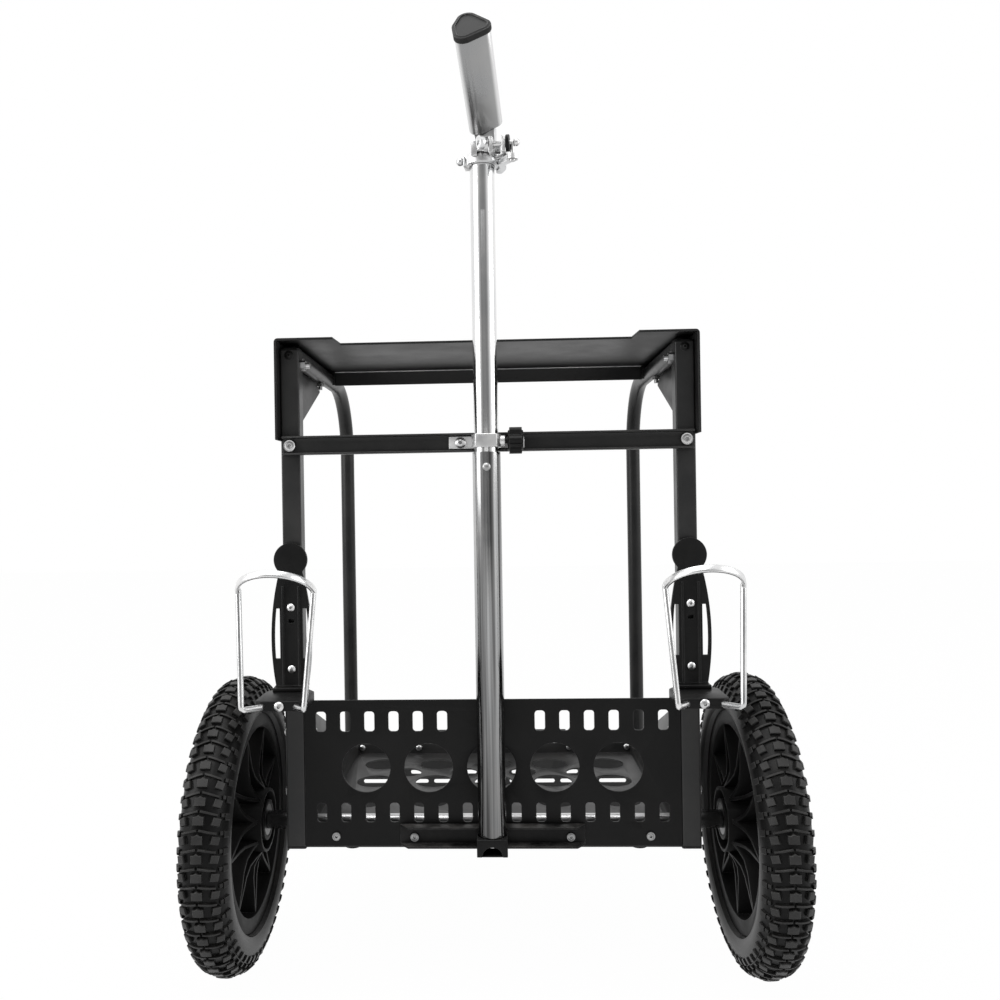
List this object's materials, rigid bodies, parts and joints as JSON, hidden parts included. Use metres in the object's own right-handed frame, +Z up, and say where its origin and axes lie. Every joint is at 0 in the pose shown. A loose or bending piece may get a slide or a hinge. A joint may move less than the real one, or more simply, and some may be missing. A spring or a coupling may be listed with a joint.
{
  "type": "two-wheeled golf bag push cart",
  "caption": "Two-wheeled push cart frame with a sheet seat, perforated load tray, bottle cages, mag wheels and a telescoping pole with a tilting grip.",
  "frame": {"origin": "on the ground, at the middle of the footprint: half-way between the tyres' rear edge and the feet's front edge, and half-way between the wheels", "axes": "+Z up, +X towards the right wheel as seen from behind, +Y forward, from the wheels and the pull pole towards the front legs"},
  "size_m": [0.5986, 0.4969, 0.9511],
  "materials": {
    "powder_coat": "satin black powder coat on steel",
    "black_plastic": "moulded black plastic, satin",
    "rim_plastic": "moulded black plastic, soft satin",
    "tyre_rubber": "matte black tread rubber",
    "rubber": "matte black rubber",
    "polished_tube": "polished",
    "bare_aluminium": "satin, cast and pressed",
    "grip_tube": "brushed, satin",
    "cage_rod": "bright plated rod",
    "spacer_black": "smooth black",
    "bright_steel": "bright zinc plate"
  },
  "bodies": {
    "frame": {"rear_post_left": "powder_coat", "rear_post_right": "powder_coat", "post_top_caps": "black_plastic", "post_end_caps": "rubber", "crossbar": "powder_coat", "crossbar_bolts": "bright_steel", "seat_pan": "powder_coat", "seat_through_bolts": "bright_steel", "rail_end_screws": "black_plastic", "leg_tube_left": "powder_coat", "leg_tube_right": "powder_coat", "rail_end_plugs": "black_plastic", "rail_bolts": "bright_steel", "leg_feet": "rubber", "rear_panel": "powder_coat", "panel_screws": "bright_steel", "floor_tray": "powder_coat", "tray_bolts": "bright_steel", "front_panel": "powder_coat", "front_panel_screws": "bright_steel", "axle": "bright_steel", "axle_spacers": "spacer_black", "axle_nuts": "bright_steel", "pole_bracket": "powder_coat", "pole_bracket_screws": "bright_steel", "pole_socket": "black_plastic", "pole_foot_plug": "black_plastic", "pole_foot_bolt": "bright_steel", "pole_outer_tube": "polished_tube", "clamp_saddle": "bare_aluminium", "clamp_screw": "bright_steel", "cage_backbone_left": "black_plastic", "cage_backbone_right": "black_plastic", "cage_shelf_left": "black_plastic", "cage_shelf_right": "black_plastic", "cage_hoop_left": "cage_rod", "cage_hoop_right": "cage_rod", "cage_screws": "bright_steel"},
    "wheel_left": {"wheel_rim_left": "rim_plastic", "tyre_left": "tyre_rubber", "inner_tube_left": "rubber", "wheel_bearings_left": "bright_steel"},
    "wheel_right": {"wheel_rim_right": "rim_plastic", "tyre_right": "tyre_rubber", "inner_tube_right": "rubber", "wheel_bearings_right": "bright_steel"},
    "upper_pole": {"pole_inner_tube": "polished_tube"},
    "head": {"head_collar": "bare_aluminium", "collar_skewer": "bright_steel", "cam_washer": "black_plastic", "cheek_screw": "bright_steel", "lever_pin": "bright_steel"},
    "handle": {"grip_bracket": "bare_aluminium", "handle_grip": "grip_tube", "grip_end_cap": "black_plastic", "tilt_bolt": "bright_steel", "tilt_bolt_nut": "bright_steel"},
    "lever": {"quick_release_lever": "bare_aluminium"},
    "knob": {"clamp_knob": "black_plastic"},
    "button": {"lock_button": "bright_steel"}
  },
  "joints": [
    {"name": "wheel_left_spin", "type": "hinge", "parent": "frame", "child": "wheel_left", "pos_m": [-0.272, -0.09425, 0.1535], "axis": [1, 0, 0], "continuous": true},
    {"name": "wheel_right_spin", "type": "hinge", "parent": "frame", "child": "wheel_right", "pos_m": [0.272, -0.09425, 0.1535], "axis": [1, 0, 0], "continuous": true},
    {"name": "pole_slide", "type": "slide", "parent": "frame", "child": "upper_pole", "axis": [0, 0, 1], "range_m": [-0.255, 0]},
    {"name": "lock_button_press", "type": "slide", "parent": "frame", "child": "button", "axis": [0, 1, 0], "range_m": [0, 0.0015], "stiffness_N_per_m": 400, "springref_m": -0.002},
    {"name": "clamp_knob_turn", "type": "hinge", "parent": "frame", "child": "knob", "pos_m": [0.0285, -0.15225, 0.556], "axis": [1, 0, 0], "range_deg": [-360, 0]},
    {"name": "head_swivel", "type": "hinge", "parent": "upper_pole", "child": "head", "pos_m": [0, -0.15225, 0.835], "axis": [0, 0, 1], "range_deg": [-90, 90]},
    {"name": "grip_tilt", "type": "hinge", "parent": "head", "child": "handle", "pos_m": [0.00397, -0.15277, 0.851], "axis": [0.9914, -0.1305, 0], "range_deg": [-55, 15]},
    {"name": "quick_release_swing", "type": "hinge", "parent": "head", "child": "lever", "pos_m": [0.03024, -0.17539, 0.8335], "axis": [0, 0, -1], "range_deg": [0, 110]}
  ]
}
